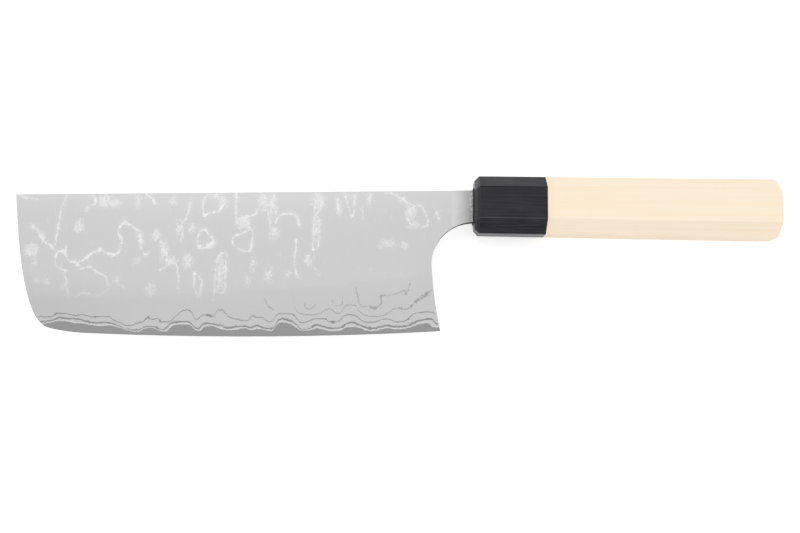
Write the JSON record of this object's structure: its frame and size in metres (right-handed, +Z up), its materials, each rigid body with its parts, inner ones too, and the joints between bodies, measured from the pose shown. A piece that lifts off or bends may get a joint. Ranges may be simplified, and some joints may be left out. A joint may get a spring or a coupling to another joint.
{
  "type": "nakiri knife",
  "caption": "Japanese vegetable knife with a straight-edged laminated blade, black horn ferrule and octagonal wooden handle.",
  "frame": {"origin": "on the surface under the middle of the handle, with the knife lying on its right side", "axes": "+X along the handle towards the butt, +Y towards the spine, +Z up through the blade's thickness"},
  "size_m": [0.3058, 0.0659, 0.0202],
  "materials": {
    "core_steel": "satin, darker from etching",
    "inner_cladding": "satin, etched",
    "middle_cladding": "satin, etched",
    "outer_cladding": "upright satin brushing, etched",
    "tang_steel": "satin",
    "horn": "polished black horn with faint streaks",
    "handle_wood": "fine sanded pale wood, bare",
    "dowel_wood": "bare",
    "glue": "set glue",
    "sealant": "dull black"
  },
  "bodies": {
    "root": {"core_steel": "core_steel", "left_inner_cladding": "inner_cladding", "left_middle_cladding": "middle_cladding", "left_outer_cladding": "outer_cladding", "right_inner_cladding": "inner_cladding", "right_middle_cladding": "middle_cladding", "right_outer_cladding": "outer_cladding", "tang": "tang_steel", "ferrule": "horn", "handle_body": "handle_wood", "dowel": "dowel_wood", "tang_bedding": "glue", "entry_sealant": "sealant"}
  },
  "joints": []
}
